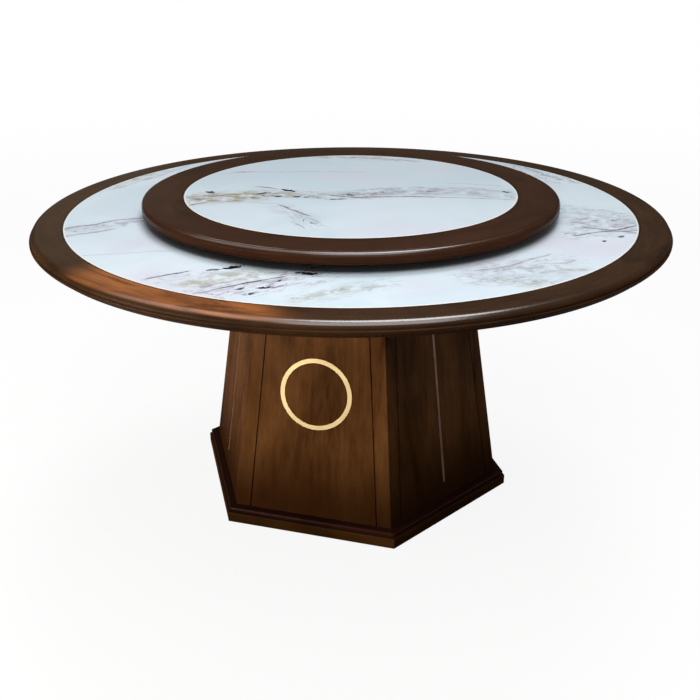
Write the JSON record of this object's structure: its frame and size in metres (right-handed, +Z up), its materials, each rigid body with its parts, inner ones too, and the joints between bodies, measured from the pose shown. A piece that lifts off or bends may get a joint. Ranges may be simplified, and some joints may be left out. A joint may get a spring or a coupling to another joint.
{
  "type": "pedestal dining table with lazy susan",
  "caption": "Round dining table on a hexagonal wooden pedestal, with an inset marble top and a turning marble-topped serving disc in the middle.",
  "frame": {"origin": "on the floor, below the centre of the top", "axes": "+Z up along the table's axis, which the lazy susan turns about; -Y towards the viewer of the front, +X to the right"},
  "size_m": [1.5998, 1.5998, 0.807],
  "materials": {
    "walnut": "dark figured walnut, satin lacquer",
    "marble": "polished white marble with grey veins",
    "plywood": "plain plywood",
    "softwood": "planed softwood",
    "brass": "satin brass",
    "bronze": "dull bronze",
    "felt": "pressed felt",
    "rubber": "black rubber",
    "ring_alloy": "extruded aluminium",
    "cage_plastic": "moulded nylon",
    "steel": "zinc-plated steel",
    "insert_brass": "turned brass"
  },
  "bodies": {
    "table": {"bearing_base_ring": "ring_alloy", "bearing_feet": "rubber", "bottom_board": "plywood", "brass_ring_1": "brass", "brass_ring_2": "brass", "brass_ring_3": "brass", "corner_block_1": "softwood", "corner_block_2": "softwood", "corner_block_3": "softwood", "corner_block_4": "softwood", "corner_block_5": "softwood", "corner_block_6": "softwood", "corner_post_1": "walnut", "corner_post_2": "walnut", "corner_post_3": "walnut", "corner_post_4": "walnut", "corner_post_5": "walnut", "corner_post_6": "walnut", "floor_pads": "felt", "metal_strip_1": "bronze", "metal_strip_2": "bronze", "metal_strip_3": "bronze", "middle_brace": "plywood", "mounting_plate": "plywood", "plinth_board_1": "walnut", "plinth_board_2": "walnut", "plinth_board_3": "walnut", "plinth_board_4": "walnut", "plinth_board_5": "walnut", "plinth_board_6": "walnut", "plinth_moulding_1": "walnut", "plinth_moulding_2": "walnut", "plinth_moulding_3": "walnut", "plinth_moulding_4": "walnut", "plinth_moulding_5": "walnut", "plinth_moulding_6": "walnut", "ring_panel_1": "walnut", "ring_panel_2": "walnut", "ring_panel_3": "walnut", "strip_panel_1": "walnut", "strip_panel_2": "walnut", "strip_panel_3": "walnut", "table_core": "plywood", "table_rim": "walnut", "table_stone": "marble", "threaded_inserts": "insert_brass", "top_bolts": "steel", "top_plate": "plywood"},
    "ball_cage": {"ball_cage": "cage_plastic", "bearing_balls": "steel"},
    "lazy_susan": {"bearing_turning_ring": "ring_alloy", "ring_screws": "steel", "susan_core": "plywood", "susan_rim": "walnut", "susan_stone": "marble"}
  },
  "joints": [
    {"name": "susan_spin", "type": "hinge", "parent": "table", "child": "lazy_susan", "pos_m": [0, 0, 0.781], "axis": [0, 0, 1], "continuous": true},
    {"name": "cage_spin", "type": "hinge", "parent": "table", "child": "ball_cage", "pos_m": [0, 0, 0.77325], "axis": [0, 0, 1], "continuous": true}
  ],
  "couplings": [
    {"joint": "cage_spin", "follows": "susan_spin", "ratio": 0.5}
  ]
}
